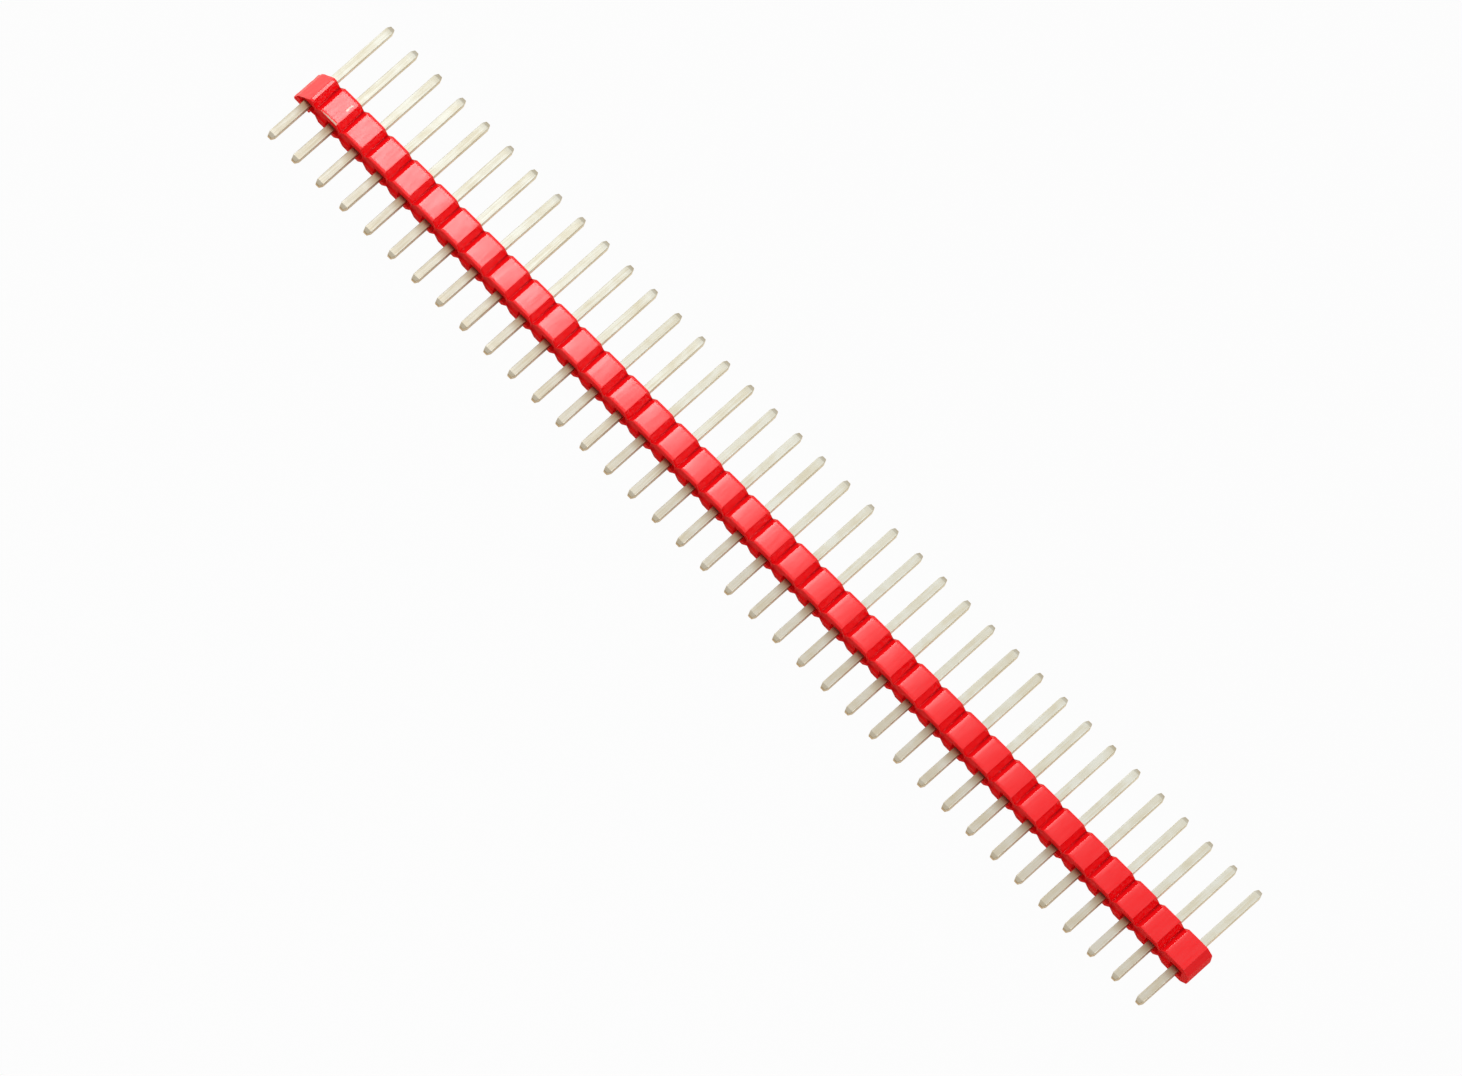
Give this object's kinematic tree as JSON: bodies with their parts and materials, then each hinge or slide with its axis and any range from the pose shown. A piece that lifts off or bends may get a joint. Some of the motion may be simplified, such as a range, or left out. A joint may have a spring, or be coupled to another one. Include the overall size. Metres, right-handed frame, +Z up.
{
  "type": "pin header strip",
  "caption": "Breakaway strip of square through-hole header pins in one notched moulded housing, snapped obliquely at one end.",
  "frame": {"origin": "centre of the whole strip's box in X and Y, at the height of the underside it lies on", "axes": "+X along the row from the broken end to the moulded end, +Y along the pins toward their long mating ends, +Z up, square to the pins"},
  "size_m": [0.094, 0.0126, 0.0025],
  "materials": {
    "housing_plastic": "gloss",
    "pin_metal": "bright tin plating"
  },
  "bodies": {
    "root": {"housing": "housing_plastic", "pin_01": "pin_metal", "pin_02": "pin_metal", "pin_03": "pin_metal", "pin_04": "pin_metal", "pin_05": "pin_metal", "pin_06": "pin_metal", "pin_07": "pin_metal", "pin_08": "pin_metal", "pin_09": "pin_metal", "pin_10": "pin_metal", "pin_11": "pin_metal", "pin_12": "pin_metal", "pin_13": "pin_metal", "pin_14": "pin_metal", "pin_15": "pin_metal", "pin_16": "pin_metal", "pin_17": "pin_metal", "pin_18": "pin_metal", "pin_19": "pin_metal", "pin_20": "pin_metal", "pin_21": "pin_metal", "pin_22": "pin_metal", "pin_23": "pin_metal", "pin_24": "pin_metal", "pin_25": "pin_metal", "pin_26": "pin_metal", "pin_27": "pin_metal", "pin_28": "pin_metal", "pin_29": "pin_metal", "pin_30": "pin_metal", "pin_31": "pin_metal", "pin_32": "pin_metal", "pin_33": "pin_metal", "pin_34": "pin_metal", "pin_35": "pin_metal", "pin_36": "pin_metal", "pin_37": "pin_metal"}
  },
  "joints": []
}
